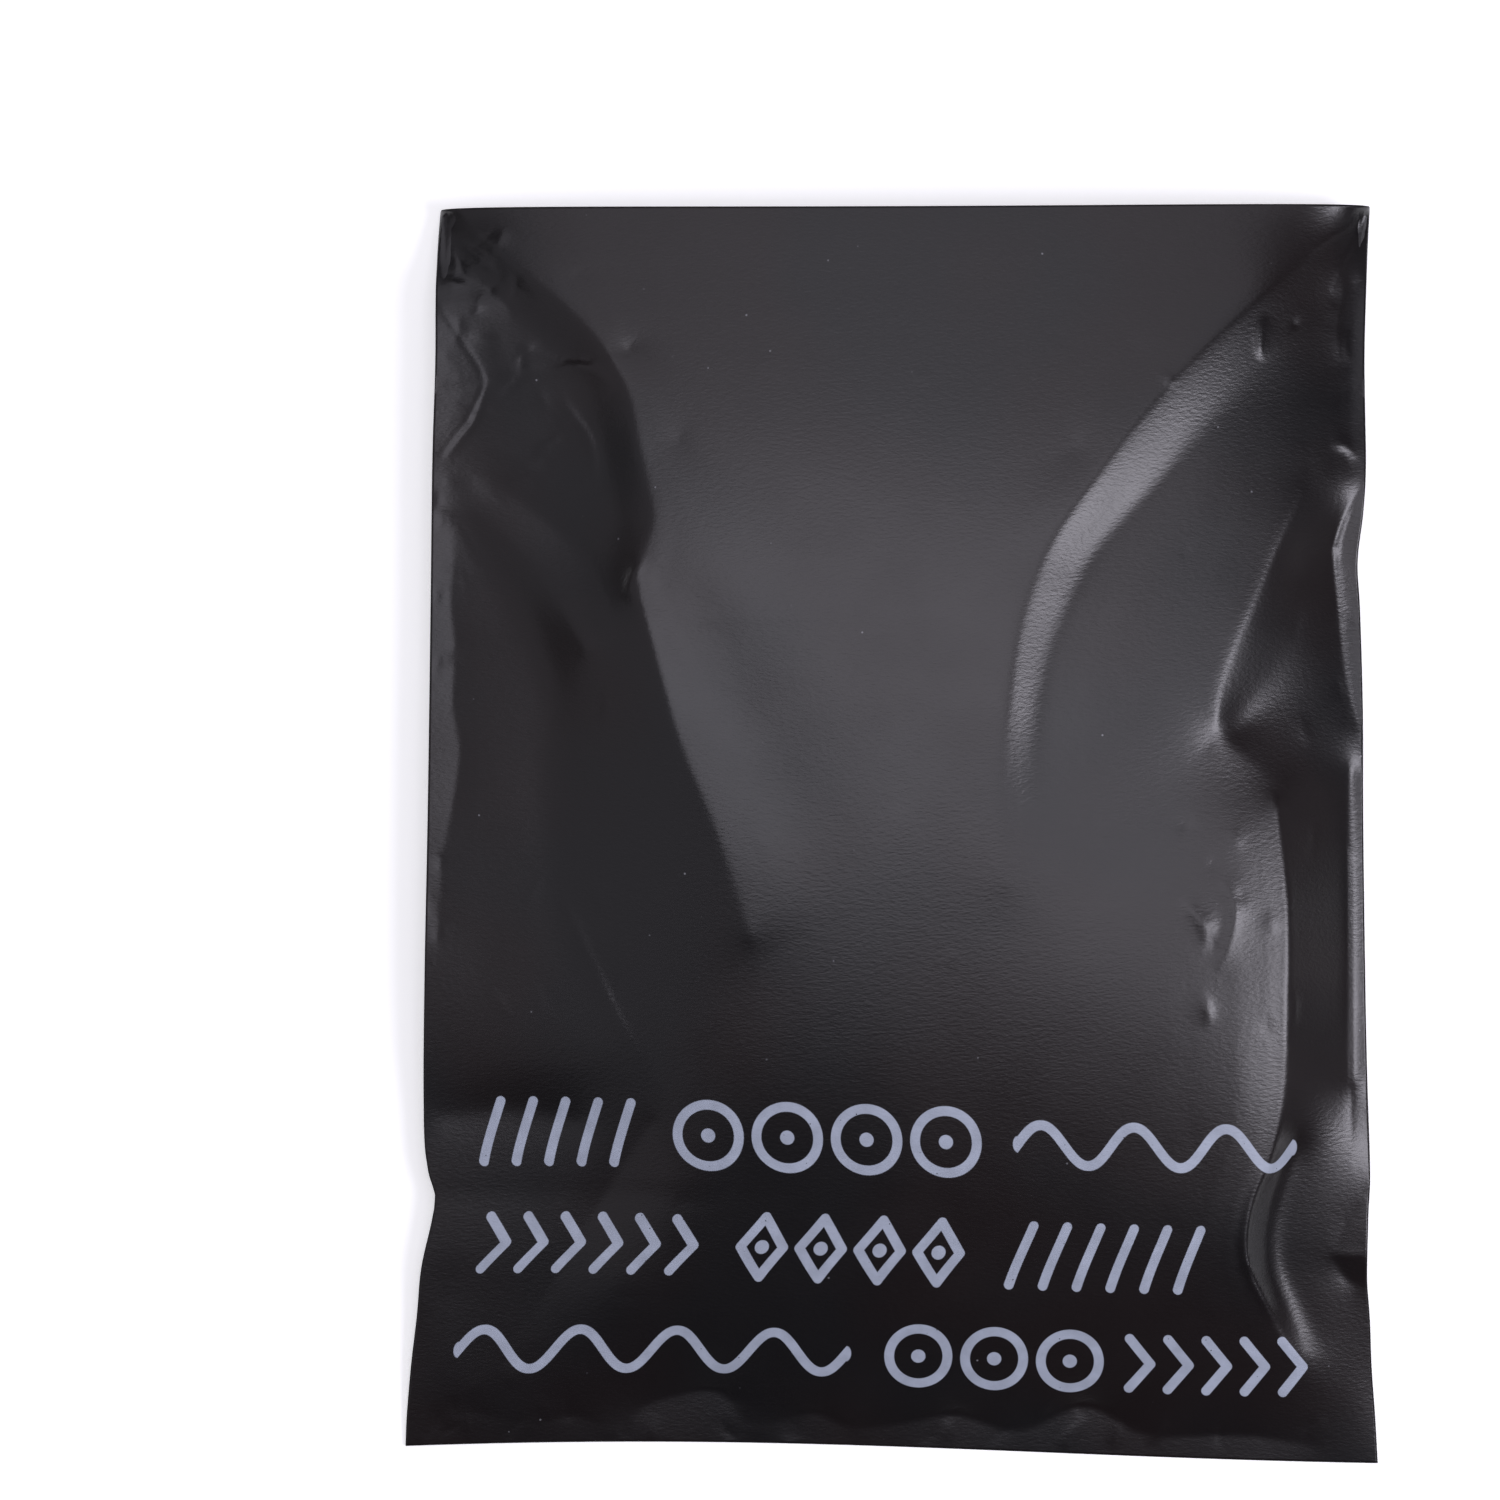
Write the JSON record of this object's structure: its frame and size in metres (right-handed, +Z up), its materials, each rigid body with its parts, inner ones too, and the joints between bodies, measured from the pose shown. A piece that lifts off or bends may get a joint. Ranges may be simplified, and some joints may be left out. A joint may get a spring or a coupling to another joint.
{
  "type": "poly mailer bag",
  "caption": "Sealed poly mailer bag of black film, packed with a soft thing and lying on its back: a rectangular pillow with welded edges and a flap stuck down behind.",
  "frame": {"origin": "on the table, under the middle of the bag's box", "axes": "+Y from the sealed bottom edge to the folded top edge, +X to the right seen from above, +Z up from the table"},
  "size_m": [0.3054, 0.3926, 0.042],
  "materials": {
    "film": "satin black polyethylene film with pale grey-blue ink"
  },
  "bodies": {
    "root": {"mailer_bag": "film"}
  },
  "joints": []
}
